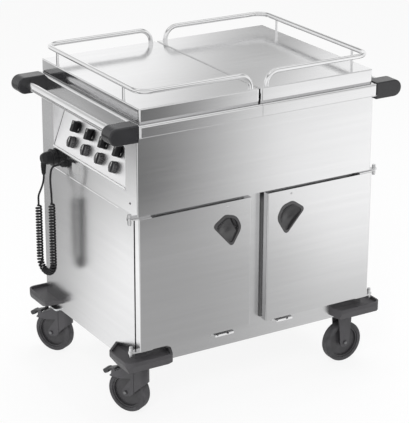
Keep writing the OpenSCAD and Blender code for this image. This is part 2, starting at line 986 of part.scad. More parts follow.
// Points of a smooth curve near the route: it starts and ends on the route's ends, along its end runs
function curve_point(q, u) =
  let (i = min(floor(u), len(q) - 4))
  let (t = u - i)
  ((1 - t) ^ 3 * q[i] + (3 * t ^ 3 - 6 * t ^ 2 + 4) * q[i + 1]
   + (-3 * t ^ 3 + 3 * t ^ 2 + 3 * t + 1) * q[i + 2] + t ^ 3 * q[i + 3]) / 6;

function smooth(route, per) =
  let (q = concat([2 * route[0] - route[1]], route, [2 * route[len(route) - 1] - route[len(route) - 2]]))
  let (n = (len(q) - 3) * per)
  [for (i = [0 : n]) curve_point(q, i / per)];

function square_to(v, t) = unit(v - (v * t) * t);

// Directions square to the tangents, each turned as little as can be from the one before
function normals(tangent, n0) =
  [for (i = 0, n = square_to(n0, tangent[0]);
        i < len(tangent);
        n = i + 1 < len(tangent) ? square_to(n, tangent[i + 1]) : n, i = i + 1) n];

// Closed tube of radius r along a path
module tube_along(path, r, sides, n0) {
  n = len(path);
  tangent = [for (i = [0 : n - 1]) unit(path[min(i + 1, n - 1)] - path[max(i - 1, 0)])];
  side = normals(tangent, n0);
  points = [for (i = [0 : n - 1], j = [0 : sides - 1])
              path[i] + r * (cos(360 * j / sides) * side[i] + sin(360 * j / sides) * cross(tangent[i], side[i]))];
  wall = [for (i = [0 : n - 2], j = [0 : sides - 1])
            let (a = i * sides + j)
            let (d = i * sides + (j + 1) % sides)
            each [[a, a + sides, d + sides], [a, d + sides, d]]];
  cap0 = [for (j = [1 : sides - 2]) [0, j, j + 1]];
  last = (n - 1) * sides;
  cap1 = [for (j = [1 : sides - 2]) [last, last + j + 1, last + j]];
  polyhedron(points = points, faces = concat(cap0, wall, cap1), convexity = 10);
}

// The coil hangs as a loop in an upright plane: down, round a half circle, and up again
loop_dir = unit([coil_right.x - coil_left.x, coil_right.y - coil_left.y, 0]);
loop_r = norm([coil_right.x - coil_left.x, coil_right.y - coil_left.y]) / 2;
loop_n = cross(loop_dir, [0, 0, 1]);
down_len = coil_left.z - coil_low_z;
turn_len = PI * loop_r;
up_len = coil_right.z - coil_low_z;
coil_len = down_len + turn_len + up_len;
loop_c = [(coil_left.x + coil_right.x) / 2, (coil_left.y + coil_right.y) / 2, coil_low_z];

function axis_point(s) =
  s < down_len ? coil_left - [0, 0, s] :
  s < down_len + turn_len ?
    let (a = (s - down_len) / loop_r * 180 / PI)
    loop_c - loop_r * cos(a) * loop_dir - [0, 0, loop_r * sin(a)] :
  [coil_right.x, coil_right.y, coil_low_z + s - down_len - turn_len];

function axis_dir(s) =
  s < down_len ? [0, 0, -1] :
  s < down_len + turn_len ?
    let (a = (s - down_len) / loop_r * 180 / PI)
    sin(a) * loop_dir - [0, 0, cos(a)] :
  [0, 0, 1];

coil_step = coil_len / curls / 8;
helix_r = (coil_dia - cable_dia) / 2;
end_run = cable_dia + 1;

// The curls open from the straight end run to their full radius over one curl
function open_at(s) =
  let (d = min(s, coil_len - s))
  let (t = min(1, max(0, (d - end_run) / (coil_len / curls))))
  t * t * (3 - 2 * t);

function curl_point(i) =
  let (s = i * coil_step)
  let (a = 45 * i)
  let (d = axis_dir(s))
  axis_point(s) + helix_r * open_at(s) * (cos(a) * loop_n + sin(a) * cross(d, loop_n));

coil_path = [for (i = [0 : 8 * curls]) curl_point(i)];

// Least distance between points of different curls, less the cable's diameter
coil_gap = min([for (i = [0 : len(coil_path) - 8], j = [i + 7 : min(i + 12, len(coil_path) - 1)])
                  norm(coil_path[i] - coil_path[j])]) - cable_dia;
echo(coil_gap = coil_gap, coil_len = coil_len);

module cord_plug_end() {
  color("#29282a")
    tube_along(smooth(plug_route, 2), cable_dia / 2, 8, [1, 0, 0]);
}

// The coil, and the short run from it up to the gland
module cord_coil() {
  color("#29282a")
    tube_along(coil_path, cable_dia / 2, 6, [1, 0, 0]);
}

module cord_gland_end() {
  color("#29282a")
    tube_along(smooth(gland_route, 2), cable_dia / 2, 8, [0, 1, 0]);
}

// ---- The nodes ----

left() lower_side();  // lower_side_left
lower_side();  // lower_side_right
floor_and_rear();
front_frame();
left() liner();  // liner_left
liner();  // liner_right
runner_ledges();
upper_housing();
control_panel();
left() worktop();  // worktop_left
worktop();  // worktop_right
left() well();  // well_left
well();  // well_right
slide_rails();
left() grip_front();  // grip_front_left
left() grip_rear();  // grip_rear_left
grip_front();  // grip_front_right
grip_rear();  // grip_rear_right
left() push_tube();  // push_tube_left
push_tube();  // push_tube_right
left() bumper_front();  // bumper_front_left
left() bumper_rear();  // bumper_rear_left
bumper_front();  // bumper_front_right
bumper_rear();  // bumper_rear_right
hinge_brackets();
door_catches();
parking_socket();
cord_gland();
castor_heads();
fixed_forks();
left() lid();  // lid_left
lid();  // lid_right
left() gallery([181, -211]);  // gallery_left
gallery([177, -217]);  // gallery_right
left() door();  // door_left
door();  // door_right
left() door_grip();  // door_grip_left
door_grip();  // door_grip_right
left() door_seal();  // door_seal_left
door_seal();  // door_seal_right
castor_at(-castor_x, castor_front_y, swivel_deg) swivel_fork();  // fork_front_left
castor_at(-castor_x, castor_rear_y, swivel_deg) swivel_fork();  // fork_rear_left
castor_at(-castor_x, castor_front_y, swivel_deg) translate([trail, 0, axle_z]) wheel();  // wheel_front_left
castor_at(-castor_x, castor_rear_y, swivel_deg) translate([trail, 0, axle_z]) wheel();  // wheel_rear_left
castor_at(castor_x, castor_front_y, 0) translate([0, 0, axle_z]) wheel();  // wheel_front_right
castor_at(castor_x, castor_rear_y, 0) translate([0, 0, axle_z]) wheel();  // wheel_rear_right
castor_at(-castor_x, castor_front_y, swivel_deg) brake_pedal();  // brake_pedal_front_left
castor_at(-castor_x, castor_rear_y, swivel_deg) brake_pedal();  // brake_pedal_rear_left
switch_knob(3);  // switch_knob_a
switch_knob(2);  // switch_knob_b
switch_knob(1);  // switch_knob_c
switch_knob(0);  // switch_knob_d
stat_knob(3);  // stat_knob_a
stat_knob(2);  // stat_knob_b
stat_knob(1);  // stat_knob_c
stat_knob(0);  // stat_knob_d
plug();
cord_plug_end();
cord_coil();
cord_gland_end();
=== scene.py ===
import bmesh
import bpy
import numpy as np
from mathutils import Matrix


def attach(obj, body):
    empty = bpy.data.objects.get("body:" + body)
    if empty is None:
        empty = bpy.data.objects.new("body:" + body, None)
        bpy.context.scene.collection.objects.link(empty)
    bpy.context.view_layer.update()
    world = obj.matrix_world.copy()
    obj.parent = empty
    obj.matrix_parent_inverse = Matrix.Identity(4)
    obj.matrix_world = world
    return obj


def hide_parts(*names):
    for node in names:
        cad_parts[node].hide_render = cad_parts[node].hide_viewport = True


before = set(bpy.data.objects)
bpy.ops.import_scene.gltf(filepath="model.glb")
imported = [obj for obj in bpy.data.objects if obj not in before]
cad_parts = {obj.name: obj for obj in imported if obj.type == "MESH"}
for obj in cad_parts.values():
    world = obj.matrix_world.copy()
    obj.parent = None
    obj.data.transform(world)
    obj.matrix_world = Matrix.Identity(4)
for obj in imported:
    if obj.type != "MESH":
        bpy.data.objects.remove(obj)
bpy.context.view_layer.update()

# ---- Camera ----
# It stands at the front left, a little over two metres up, and looks down on the trolley. Yaw turns
# it from +Y towards +X, pitch tips it down and roll levels the floor line.

camera_at = np.array([-2.48585, -4.12210, 2.28628])
camera_yaw = 0.544461
camera_pitch = 0.361478
camera_roll = 0.0040876
camera_lens = 147.52
camera_sensor = 36

ahead = np.array([np.sin(camera_yaw) * np.cos(camera_pitch), np.cos(camera_yaw) * np.cos(camera_pitch),
                  -np.sin(camera_pitch)])
rightward = np.array([np.cos(camera_yaw), -np.sin(camera_yaw), 0.0])
upward = np.cross(rightward, ahead)
camera_x = rightward * np.cos(camera_roll) + upward * np.sin(camera_roll)
camera_y = upward * np.cos(camera_roll) - rightward * np.sin(camera_roll)
camera_turn = np.column_stack([camera_x, camera_y, -ahead, camera_at])
lens = bpy.data.cameras.new("camera")
lens.lens = camera_lens
lens.sensor_width = camera_sensor
camera = bpy.data.objects.new("camera", lens)
camera.matrix_world = Matrix(np.vstack([camera_turn, [0, 0, 0, 1]]).tolist())
bpy.context.scene.collection.objects.link(camera)
bpy.context.scene.camera = camera

# ---- Cord ----
# The mains lead is a curly cord of black rubbery plastic. It leaves the gland in the left wall, hangs
# down as a loop of tight curls, and comes up again to the plug, which is parked in its socket.

cable_dia = 0.006
coil_dia = 0.021
curls = 54
curl_steps = 24
straight_end = cable_dia + 0.001
coil_left = np.array([-0.448, 0.177, 0.524])
coil_right = np.array([-0.438, 0.110, 0.548])
coil_low = 0.350
# The short ends' routes are in millimetres, from the gland and from the plug to the curls.
gland_route = [[-410, 103, 655], [-418, 103, 655], [-437, 103, 655], [-443, 103, 636], [-444, 104, 606],
               [-440, 108, 580], [-438, 110, 560], [-438, 110, 548]]
plug_route = [[-430, 174, 608], [-430, 174, 600], [-432, 174, 584], [-440, 175, 562],
              [-448, 177, 546], [-448, 177, 532], [-448, 177, 524]]
route_steps = 8
x_way, y_way, z_way = np.eye(3)


def smooth_run(route):
    """Uniform cubic B-spline that follows the listed points, turned from millimetres into metres. Each
    end has one more point, mirrored past it, so the curve starts and ends on the route's own ends."""
    r = np.array(route, float) / 1000
    q = np.vstack([2 * r[0] - r[1], r, 2 * r[-1] - r[-2]])
    u = np.arange((len(q) - 3) * route_steps + 1) / route_steps
    i = np.minimum(u.astype(int), len(q) - 4)
    t = (u - i)[:, None]
    return ((1 - t) ** 3 * q[i] + (3 * t**3 - 6 * t**2 + 4) * q[i + 1]
            + (-3 * t**3 + 3 * t**2 + 3 * t + 1) * q[i + 2] + t**3 * q[i + 3]) / 6


def curly_run():
    """Helix round an upright loop: straight down, a half circle, and straight up. The curls' radius
    grows from nought over the first curl and falls again over the last, as 3t^2 - 2t^3."""
    level = coil_right - coil_left
    level[2] = 0
    loop_r = np.linalg.norm(level) / 2
    level /= np.linalg.norm(level)
    square = np.cross(level, z_way)
    down = coil_left[2] - coil_low
    bend = np.pi * loop_r
    length = down + bend + coil_right[2] - coil_low
    s = np.linspace(0, length, curls * curl_steps + 1)
    a = np.clip((s - down) / loop_r, 0, np.pi)[:, None]
    middle = (coil_left + coil_right) / 2
    middle[2] = coil_low
    axis = middle - loop_r * np.cos(a) * level - loop_r * np.sin(a) * z_way
    axis = axis + z_way * (np.maximum(down - s, 0) + np.maximum(s - down - bend, 0))[:, None]
    heading = np.sin(a) * level - np.cos(a) * z_way
    t = np.clip((np.minimum(s, length - s) - straight_end) / (length / curls), 0, 1)
    opened = (t * t * (3 - 2 * t))[:, None]
    turn = (2 * np.pi * curls * s / length)[:, None]
    swing = np.cos(turn) * square + np.sin(turn) * np.cross(heading, square)
    return axis + (coil_dia - cable_dia) / 2 * opened * swing


cord_line = np.vstack([smooth_run(gland_route), curly_run()[::-1][1:], smooth_run(plug_route)[::-1][1:]])
cord_shape = bpy.data.curves.new("cord", "CURVE")
cord_shape.dimensions = "3D"
cord_shape.bevel_depth = cable_dia / 2
cord_shape.bevel_resolution = 3
cord_shape.use_fill_caps = True
cord_spline = cord_shape.splines.new("POLY")
cord_spline.points.add(len(cord_line) - 1)
cord_spline.points.foreach_set("co", np.hstack([cord_line, np.ones((len(cord_line), 1))]).ravel())
cord_spline.use_smooth = True
cord = bpy.data.objects.new("cord", cord_shape)
bpy.context.scene.collection.objects.link(cord)


def new_finish(name, colour, roughness, metallic=0.0, sheen=0.5):
    """A material with one Principled shader, whose plain values are set on its own sockets. The sheen
    is the strength of the clear reflection that plastic has."""
    finish = bpy.data.materials.new(name)
    finish.use_nodes = True
    shader = finish.node_tree.nodes["Principled BSDF"]
    shader.inputs["Base Color"].default_value = (*colour, 1)
    shader.inputs["Roughness"].default_value = roughness
    shader.inputs["Metallic"].default_value = metallic
    shader.inputs["Specular IOR Level"].default_value = sheen
    return finish


def add_node(owner, kind, operation=None, **values):
    """A node of this kind in a finish or in the world. Each value is for the input of that name, or of
    the number after an i: a socket is linked to it, and a plain value is set on it."""
    made = owner.node_tree.nodes.new(kind)
    if operation:
        made.operation = operation
    for key, value in values.items():
        socket = made.inputs[int(key[1:])] if key[0] == "i" and key[1:].isdigit() else made.inputs[key]
        if isinstance(value, bpy.types.NodeSocket):
            owner.node_tree.links.new(value, socket)
        else:
            socket.default_value = value
    return made


def reckon(owner, operation, *values):
    """What a Math node makes of these sockets and plain numbers."""
    inputs = {f"i{k}": value for k, value in enumerate(values)}
    return add_node(owner, "ShaderNodeMath", operation, **inputs).outputs[0]


def place_on(finish):
    """The point on the piece, in the shared frame, because every piece's object sits at the origin."""
    return add_node(finish, "ShaderNodeTexCoord").outputs["Object"]


def split(owner, vector):
    """The vector's parts, by their names X, Y and Z."""
    return add_node(owner, "ShaderNodeSeparateXYZ", Vector=vector).outputs


def cloud(finish, scale, detail=3.0, stretch=(1, 1, 1)):
    """Noise on Object coordinates, stretched along each axis, from 0 to 1 about 0.5."""
    place = add_node(finish, "ShaderNodeMapping", Vector=place_on(finish), Scale=stretch)
    return add_node(finish, "ShaderNodeTexNoise", Vector=place.outputs[0], Scale=scale,
                    Detail=detail).outputs["Fac"]


def spread(finish, value, low, high, start=0.3, end=0.7):
    """Moves a value from start ... end, which noise fills, to low ... high."""
    return add_node(finish, "ShaderNodeMapRange", Value=value, i1=start, i2=end, i3=low, i4=high).outputs[0]


def between(owner, part, first, second):
    """A colour that goes from the first to the second as the part goes from 0 to 1. Each of the two is
    a plain colour or a socket."""
    mix = owner.node_tree.nodes.new("ShaderNodeMix")
    mix.data_type = "RGBA"
    for number, value in ((0, part), (6, first), (7, second)):
        if isinstance(value, bpy.types.NodeSocket):
            owner.node_tree.links.new(value, mix.inputs[number])
        else:
            mix.inputs[number].default_value = (*value, 1)
    return mix.outputs[2]


def plug_in(finish, socket, value):
    """Links a value to an input of the finish's shader."""
    finish.node_tree.links.new(value, finish.node_tree.nodes["Principled BSDF"].inputs[socket])


def roughen(finish, value, depth, strength):
    """Bumps of this depth in metres where the value rises from 0 to 1."""
    bump = add_node(finish, "ShaderNodeBump", Height=value, Distance=depth, Strength=strength)
    plug_in(finish, "Normal", bump.outputs[0])


cable_finish = new_finish("cable", (0.010, 0.010, 0.011), 0.38, sheen=0.3)
cable_dust = spread(cable_finish, cloud(cable_finish, 90, 4), 0, 1)
plug_in(cable_finish, "Base Color", between(cable_finish, cable_dust, (0.007, 0.007, 0.008), (0.016, 0.016, 0.018)))
plug_in(cable_finish, "Roughness", spread(cable_finish, cloud(cable_finish, 25), 0.34, 0.52))
roughen(cable_finish, cloud(cable_finish, 1500, 2), 0.00006, 0.4)
cord.data.materials.append(cable_finish)
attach(cord, "trolley")
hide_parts("cord_plug_end", "cord_coil", "cord_gland_end")

# ---- Studio ----
# A plain pale floor that keeps the shadow, one broad lamp from the front left and one overhead, and
# cards on the floor that only the steel sees, which shade it from dark to light as a dim studio does.

floor_reach = 14
floor_white = 0.86
floor_slant = 0.55
brightest = 1.4
sky_light = 0.62
housing_front = -0.307
wall_left = -0.386


def stage_sheet(name, x0, x1, y0, y1, z, finish):
    """A level rectangle of the studio, which isn't part of the trolley."""
    mesh = bpy.data.meshes.new(name)
    mesh.from_pydata([(x0, y0, z), (x1, y0, z), (x1, y1, z), (x0, y1, z)], [], [(0, 1, 2, 3)])
    mesh.materials.append(finish)
    piece = bpy.data.objects.new(name, mesh)
    bpy.context.scene.collection.objects.link(piece)
    return piece


def shade_ramp(owner, value, stops):
    """Brightness that eases from stop to stop of (place, brightness), as a share of the brightest."""
    low, high = stops[0][0], stops[-1][0]
    part = add_node(owner, "ShaderNodeMapRange", Value=value, i1=low, i2=high)
    made = add_node(owner, "ShaderNodeValToRGB", Fac=part.outputs[0])
    made.color_ramp.interpolation = "B_SPLINE"
    for k, (where, bright) in enumerate(stops):
        spot = (where - low) / (high - low)
        stop = made.color_ramp.elements[k] if k < 2 else made.color_ramp.elements.new(spot)
        stop.position = spot
        stop.color = (bright / brightest, bright / brightest, bright / brightest, 1)
    return made.outputs[0]


def either(owner, part, first, second):
    """A shader that goes from the first to the second as the part goes from 0 to 1."""
    return add_node(owner, "ShaderNodeMixShader", i0=part, i1=first, i2=second).outputs[0]


floor_finish = new_finish("floor", (0.86, 0.86, 0.865), 0.9)
floor_place = split(floor_finish, place_on(floor_finish))
floor_line = reckon(floor_finish, "MULTIPLY_ADD", floor_place["X"], floor_slant, floor_place["Y"])
floor_shade = shade_ramp(floor_finish, floor_line, [(-1.5, 1.0), (0.4, 0.95), (1.0, 0.45), (2.2, 1.05)])
floor_glow = add_node(floor_finish, "ShaderNodeEmission", Color=floor_shade, Strength=brightest).outputs[0]
floor_plain = add_node(floor_finish, "ShaderNodeEmission", Strength=1.0).outputs[0]
floor_seen = add_node(floor_finish, "ShaderNodeLightPath").outputs
floor_mirrored = reckon(floor_finish, "MAXIMUM", floor_seen["Is Glossy Ray"], floor_seen["Is Transmission Ray"])
floor_pale = either(floor_finish, reckon(floor_finish, "MULTIPLY", floor_seen["Is Camera Ray"], floor_white),
                    floor_finish.node_tree.nodes["Principled BSDF"].outputs[0], floor_plain)
floor_finish.node_tree.links.new(either(floor_finish, floor_mirrored, floor_pale, floor_glow),
                                 floor_finish.node_tree.nodes["Material Output"].inputs["Surface"])
stage_sheet("floor", -floor_reach, floor_reach, -floor_reach, floor_reach, 0.0, floor_finish)


def fan_card(name, face_way, fan_along, fan_away, face_away, rows):
    """Fixed glow for what one flat face of the trolley mirrors. Rays fan out over the floor from a
    point behind the face, which is the photograph's viewpoint as mirrored in it, at fan_along on the
    axis that face_way names and at fan_away on the other, where the face stands at face_away. With
    depth = fan_away - face_away, along = the floor point's place on the face's axis and away = its
    place on the other:
    place = fan_along + (along - fan_along) * depth / (fan_away - away), where the ray meets the face,
    and reach = (fan_away - away) / depth - 1, how far past the face the floor point lies. Each row of
    (reach, stops) has a ramp over place, and the rows blend with the reach."""
    finish = bpy.data.materials.new(name)
    finish.use_nodes = True
    finish.node_tree.nodes.remove(finish.node_tree.nodes["Principled BSDF"])
    floor = split(finish, place_on(finish))
    depth = fan_away - face_away
    along = reckon(finish, "SUBTRACT", floor[face_way], fan_along)
    away = reckon(finish, "SUBTRACT", fan_away, floor["Y" if face_way == "X" else "X"])
    place = reckon(finish, "MULTIPLY_ADD", reckon(finish, "DIVIDE", along, away), depth, fan_along)
    reach = reckon(finish, "MULTIPLY_ADD", away, 1 / depth, -1.0)
    shade = shade_ramp(finish, place, rows[0][1])
    for (near, _), (far, stops) in zip(rows, rows[1:]):
        part = spread(finish, reach, 0, 1, near, far)
        shade = between(finish, part, shade, shade_ramp(finish, place, stops))
    glow = add_node(finish, "ShaderNodeEmission", Color=shade, Strength=brightest)
    finish.node_tree.links.new(glow.outputs[0], finish.node_tree.nodes["Material Output"].inputs["Surface"])
    return finish


front_rows = [
    (0.12, [(-1.0, 1.0), (-0.62, 0.45), (-0.20, 0.48), (0.0, 0.60), (0.20, 0.76), (0.50, 0.90)]),
    (0.22, [(-1.0, 1.0), (-0.62, 0.42), (-0.20, 0.49), (0.0, 0.62), (0.12, 0.80), (0.24, 1.12), (0.50, 1.20)]),
    (0.33, [(-1.0, 1.0), (-0.60, 0.42), (-0.22, 0.50), (0.0, 0.86), (0.12, 1.17), (0.24, 1.29), (0.50, 1.35)]),
    (0.41, [(-1.1, 1.0), (-0.75, 0.05), (-0.45, 0.20), (-0.28, 0.10), (0.0, 1.12), (0.12, 1.18), (0.50, 1.40)]),
    (0.61, [(-1.1, 1.0), (-0.75, 0.05), (-0.45, 0.24), (-0.28, 0.10), (0.0, 1.14), (0.12, 1.20), (0.50, 1.38)]),
    (0.67, [(-1.1, 1.0), (-0.75, 0.05), (-0.45, 0.18), (-0.28, 0.06), (0.0, 0.97), (0.12, 0.98), (0.50, 1.06)]),
]
side_rows = [
    (0.12, [(-0.40, 1.14), (-0.10, 1.17), (0.05, 0.85), (0.15, 0.54), (0.40, 0.38)]),
    (0.26, [(-0.40, 1.40), (-0.12, 1.34), (0.0, 0.80), (0.12, 0.42), (0.40, 0.20)]),
    (0.40, [(-0.40, 1.40), (-0.15, 0.98), (0.0, 0.68), (0.15, 0.60), (0.40, 0.60)]),
    (0.60, [(-0.40, 0.30), (-0.15, 0.55), (0.0, 0.85), (0.10, 1.10), (0.20, 0.40), (0.40, 0.80)]),
    (0.68, [(-0.40, 0.05), (-0.15, 0.06), (0.0, 0.10), (0.10, 0.60), (0.20, 0.40), (0.40, 1.00)]),
]
front_glow = fan_card("front_card", "X", fan_along=-2.486, fan_away=3.508, face_away=housing_front, rows=front_rows)
side_glow = fan_card("side_card", "Y", fan_along=-4.122, fan_away=1.714, face_away=wall_left, rows=side_rows)
front_card = stage_sheet("front_card", -2.4, 4.5, -5.5, -0.42, 0.002, front_glow)
side_card = stage_sheet("side_card", -4.0, -0.50, -0.40, 4.5, 0.003, side_glow)
for card in (front_card, side_card):
    card.visible_camera = False
    card.visible_diffuse = False
    card.visible_shadow = False
    card.visible_transmission = False


def soft_lamp(name, at, toward, size, power):
    """A round lamp that lights the trolley and isn't mirrored in it."""
    lamp = bpy.data.lights.new(name, "AREA")
    lamp.shape = "DISK"
    lamp.size = size
    lamp.energy = power
    made = bpy.data.objects.new(name, lamp)
    back = np.array(at, float) - np.array(toward, float)
    back /= np.linalg.norm(back)
    side = np.cross(z_way, back)
    side /= np.linalg.norm(side)
    turn = np.column_stack([side, np.cross(back, side), back, at])
    made.matrix_world = Matrix(np.vstack([turn, [0, 0, 0, 1]]).tolist())
    made.visible_glossy = False
    bpy.context.scene.collection.objects.link(made)


soft_lamp("front_lamp", at=(-2.4, -3.2, 3.6), toward=(0, 0, 0.5), size=2.2, power=95)
soft_lamp("top_lamp", at=(0.6, 0.4, 3.6), toward=(0, 0, 0.8), size=2.6, power=60)

# The sky is plain and pale to the camera and gives a dim even light. The steel sees it in tiers and,
# ahead, where the lids mirror it, with a slanted dark flag. Heights and bearings are in degrees, up
# from the floor and from +Y towards +X.
flag_bearings = (20.0, 60.0)
flag_top = 24.0
flag_step = (14.7, 15.6)
flag_foot = 16.0
flag_slope = 0.55

world = bpy.data.worlds.new("world")
bpy.context.scene.world = world
world.use_nodes = True
sky_way = split(world, add_node(world, "ShaderNodeTexCoord").outputs["Generated"])
height = reckon(world, "MULTIPLY", reckon(world, "ARCSINE", sky_way["Z"]), 180 / np.pi)
bearing = reckon(world, "MULTIPLY", reckon(world, "ARCTAN2", sky_way["X"], sky_way["Y"]), 180 / np.pi)
tiers = shade_ramp(world, height, [(0, 1.0), (25, 1.05), (36, 0.3), (42, 0.25), (52, 1.1), (66, 1.1), (74, 0.5),
                                   (90, 1.0)])
slant = reckon(world, "MULTIPLY_ADD", reckon(world, "SUBTRACT", height, flag_foot), flag_slope, bearing)
flag_low = shade_ramp(world, slant, [(24, 1.15), (29, 1.15), (30.2, 1.0), (31, 0.56), (32, 0.40), (32.8, 0.12),
                                     (33.6, 0.22), (34.4, 0.56), (35.2, 1.1), (60, 1.0)])
flag_high = shade_ramp(world, slant, [(24, 1.15), (28.8, 1.15), (29.8, 1.09), (30.6, 0.84), (31.4, 0.64),
                                      (32.4, 0.54), (33.4, 0.54), (34.1, 0.72), (34.9, 1.12), (36, 1.2), (60, 1.0)])
flag = between(world, spread(world, height, 0, 1, *flag_step), flag_low, flag_high)
abreast = reckon(world, "MULTIPLY", reckon(world, "GREATER_THAN", bearing, flag_bearings[0]),
                 reckon(world, "LESS_THAN", bearing, flag_bearings[1]))
in_flag = reckon(world, "MULTIPLY", abreast, reckon(world, "LESS_THAN", height, flag_top))
sky_mirrored = add_node(world, "ShaderNodeBackground", Color=between(world, in_flag, tiers, flag), Strength=brightest)
sky_plain = add_node(world, "ShaderNodeBackground", Color=(0.95, 0.95, 0.955, 1))
sky_dim = world.node_tree.nodes["Background"]
sky_dim.inputs["Color"].default_value = (1, 1, 1, 1)
sky_dim.inputs["Strength"].default_value = sky_light
sky_seen = add_node(world, "ShaderNodeLightPath").outputs
sky = either(world, sky_seen["Is Glossy Ray"],
             either(world, sky_seen["Is Camera Ray"], sky_dim.outputs[0], sky_plain.outputs[0]),
             sky_mirrored.outputs[0])
world.node_tree.links.new(sky, world.node_tree.nodes["World Output"].inputs["Surface"])

bpy.context.scene.view_settings.view_transform = "Standard"

# ---- Carcass ----
# The cupboard is folded from 1.5 mm stainless sheet with a brushed face: two side walls, a front
# frame, and one sheet for the bottom and the rear. The liners and their ledges are spot-welded in.


def brushed_steel(name, colour, roughness):
    """Stainless sheet, ground in one direction. Long thin noise streaks run along x, or along y where
    the face looks along x, and cloudy smears of handling lie over them."""
    finish = new_finish(name, colour, roughness, 1.0)
    along_x, along_y = (4, 900, 900), (900, 4, 900)
    facing = split(finish, add_node(finish, "ShaderNodeTexCoord").outputs["Normal"])["X"]
    looks_along_x = reckon(finish, "GREATER_THAN", reckon(finish, "ABSOLUTE", facing), 0.7)

    def streaks(scale, share):
        first = cloud(finish, scale, 2, [1 + (g - 1) * share for g in along_x])
        second = cloud(finish, scale, 2, [1 + (g - 1) * share for g in along_y])
        return add_node(finish, "ShaderNodeMix", i0=looks_along_x, i2=first, i3=second).outputs[0]

    fine = streaks(1.0, 1.0)
    broad = streaks(1.3, 0.055)
    smear = cloud(finish, 3.1, 4)
    tone = reckon(finish, "ADD", spread(finish, fine, -0.5, 0.5), spread(finish, broad, -0.35, 0.85))
    plug_in(finish, "Base Color", between(finish, tone, [c * 0.985 for c in colour],
                                          [min(1, c * 1.015) for c in colour]))
    plug_in(finish, "Roughness", reckon(finish, "ADD", spread(finish, fine, -0.012, 0.012),
                                        spread(finish, smear, roughness - 0.015, roughness + 0.02)))
    roughen(finish, fine, 0.00002, 0.08)
    return finish


def dress(finish, *names):
    """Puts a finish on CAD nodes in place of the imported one."""
    for name in names:
        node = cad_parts[name]
        node.data.materials.clear()
        node.data.materials.append(finish)


sheet_finish = brushed_steel("sheet_steel", (0.70, 0.70, 0.705), 0.24)
inner_finish = brushed_steel("liner_steel", (0.60, 0.60, 0.605), 0.30)
dress(sheet_finish, "lower_side_left", "lower_side_right", "floor_and_rear", "front_frame")
dress(inner_finish, "liner_left", "liner_right", "runner_ledges")

# ---- Upper housing and control panel ----
# The housing overhangs the doors at the front and holds the two heated wells. Its left wall has an
# opening with a leaning panel of smooth sheet, which sets the knobs back from the wall.

housing_finish = brushed_steel("housing_steel", (0.69, 0.69, 0.695), 0.17)
panel_finish = brushed_steel("panel_steel", (0.93, 0.93, 0.935), 0.42)
dress(housing_finish, "upper_housing")
dress(panel_finish, "control_panel")

# ---- Worktop, wells and slide rails ----
# Each half of the worktop is a 2 mm pan with a well's opening. The wells are deep-drawn from thin
# sheet and hang below, and four lipped channels on top carry the lids.

top_finish = brushed_steel("worktop_steel", (0.72, 0.72, 0.725), 0.17)
well_finish = brushed_steel("well_steel", (0.62, 0.62, 0.625), 0.24)
dress(top_finish, "worktop_left", "worktop_right")
dress(well_finish, "well_left", "well_right", "slide_rails")

# ---- Lids and galleries ----
# The lids are folded pans of the same sheet with a finer grain, on grey plastic glide strips along
# their outer edges. Each carries a rail of 14 mm polished tube, bent at its corners and turned down
# into the lid at its ends, with two short posts.

lid_middle = -20
glide_x = 378.3
glide_z = 887.0
glide_half_long = 285
glide_half_thick = 1.5

lid_finish = brushed_steel("lid_steel", (0.76, 0.76, 0.765), 0.13)
dress(lid_finish, "lid_left", "lid_right")


def polished_steel(name, colour, roughness):
    """Buffed tube: almost even, with faint short scratches and the odd dull patch."""
    finish = new_finish(name, colour, roughness, 1.0)
    scratch = cloud(finish, 260, 3, (1, 0.25, 1))
    patch = cloud(finish, 9, 3)
    tone = spread(finish, patch, 0, 1)
    plug_in(finish, "Base Color", between(finish, tone, [c * 0.93 for c in colour], colour))
    plug_in(finish, "Roughness", reckon(finish, "ADD", spread(finish, scratch, -0.03, 0.05),
                                        spread(finish, patch, roughness - 0.02, roughness + 0.05)))
    return finish


rail_finish = polished_steel("gallery_steel", (0.82, 0.82, 0.825), 0.10)
dress(rail_finish, "gallery_left", "gallery_right")


def surface(name, points, finish, body):
    """Mesh over a grid of points, rows along the piece and columns round it. The columns close on
    themselves, doubled points at the poles are merged, and the faces are turned outward."""
    rows, columns = points.shape[:2]
    index = np.arange(rows * columns).reshape(rows, columns)
    after = np.roll(index, -1, 1)
    faces = np.stack([index[:-1], after[:-1], after[1:], index[1:]], -1).reshape(-1, 4)
    mesh = bpy.data.meshes.new(name)
    mesh.from_pydata(points.reshape(-1, 3), [], faces.tolist())
    shape = bmesh.new()
    shape.from_mesh(mesh)
    bmesh.ops.remove_doubles(shape, verts=shape.verts, dist=1e-6)
    bmesh.ops.recalc_face_normals(shape, faces=shape.faces)
    shape.to_mesh(mesh)
    shape.free()
    mesh.materials.append(finish)
    piece = bpy.data.objects.new(name, mesh)
    bpy.context.scene.collection.objects.link(piece)
    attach(piece, body)


def slab(centre, half_long, half_wide, low, high, long_way, up, power):
    """Thin bar on a face, from low to high above the centre along up. Its outline is a superellipse:
    half_long * cos^power along long_way and half_wide * sin^power across it, so 1 is an ellipse and a
    small power is nearly a rectangle. Sizes are in millimetres."""
    a = np.linspace(0, 2 * np.pi, 48, endpoint=False)
    along = np.sign(np.cos(a)) * np.abs(np.cos(a)) ** power * half_long
    across = np.sign(np.sin(a)) * np.abs(np.sin(a)) ** power * half_wide
    ring = along[:, None] * long_way + across[:, None] * np.cross(up, long_way)
    rows = [(low, 0.0), (low, 1.0), (high, 1.0), (high, 0.0)]
    return np.array([centre + h * up + k * ring for h, k in rows]) / 1000


square_end = 0.12

